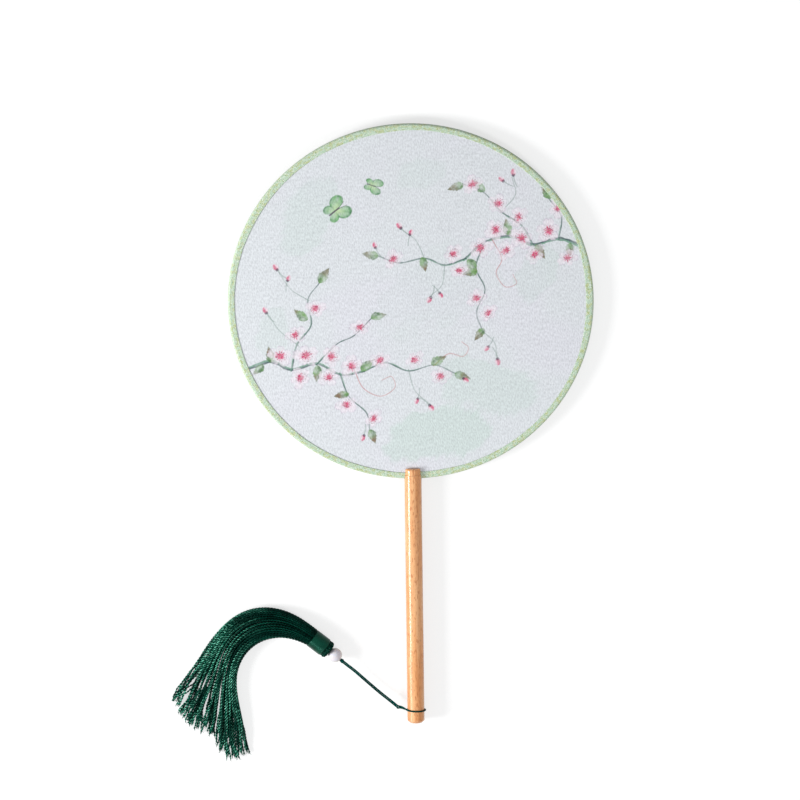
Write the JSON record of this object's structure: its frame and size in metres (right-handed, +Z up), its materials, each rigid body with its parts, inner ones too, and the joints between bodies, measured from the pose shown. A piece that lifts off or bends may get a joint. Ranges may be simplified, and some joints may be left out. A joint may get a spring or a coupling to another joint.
{
  "type": "round fan",
  "caption": "Round hand fan: silk on a wire hoop bound with brocade tape, on a lacquered wooden handle, with a pearl bead and a long thread tassel on a doubled cord.",
  "frame": {"origin": "under the middle of the fan, on the surface that it lies on; the tassel and its doubled cord are left out of that middle", "axes": "+Y from the butt of the handle to the disc, +Z up out of the painted face, +X to the right"},
  "size_m": [0.2971, 0.4607, 0.0145],
  "materials": {
    "handle_wood": "clear gloss lacquer over close-grained pale wood",
    "hoop_steel": "drawn steel wire",
    "front_silk": "fine plain-woven silk with a painted spray of blossom",
    "back_silk": "fine plain-woven silk, plain",
    "binding_brocade": "brocade tape in pale mint, olive gold and white",
    "cord_thread": "plied dark green cord with a silky sheen",
    "tassel_thread": "two-ply dark green thread with a silky sheen",
    "winding_thread": "fine dark green thread wound side by side",
    "pearl": "pearl coating, soft gloss"
  },
  "bodies": {
    "fan": {"handle": "handle_wood", "hoop_wire": "hoop_steel", "front_leaf": "front_silk", "back_leaf": "back_silk", "rim_binding": "binding_brocade"},
    "loop": {"cord_loop": "cord_thread"},
    "cord": {"cord_strand_left": "cord_thread", "cord_strand_right": "cord_thread", "stopper_knot": "cord_thread"},
    "bead": {"pearl_bead": "pearl"},
    "tassel": {"tassel_cord": "cord_thread", "anchor_knot": "cord_thread", "fold_crown": "tassel_thread", "head_core": "tassel_thread", "head_winding": "winding_thread", "skirt": "tassel_thread"}
  },
  "joints": [
    {"name": "loop_turn", "type": "hinge", "parent": "fan", "child": "loop", "pos_m": [0, -0.20525, 0.0072], "axis": [0, 1, 0], "continuous": true},
    {"name": "cord_swing", "type": "hinge", "parent": "loop", "child": "cord", "pos_m": [-0.0125, -0.20525, 0.0072], "axis": [0, 0, 1], "range_deg": [-30, 110]},
    {"name": "bead_spin", "type": "hinge", "parent": "cord", "child": "bead", "pos_m": [-0.05627, -0.1672, 0.0067], "axis": [-0.7547, 0.6561, 0], "continuous": true},
    {"name": "tassel_swing", "type": "hinge", "parent": "cord", "child": "tassel", "pos_m": [-0.05627, -0.1672, 0.0067], "axis": [0, 0, 1], "range_deg": [-40, 60]}
  ]
}
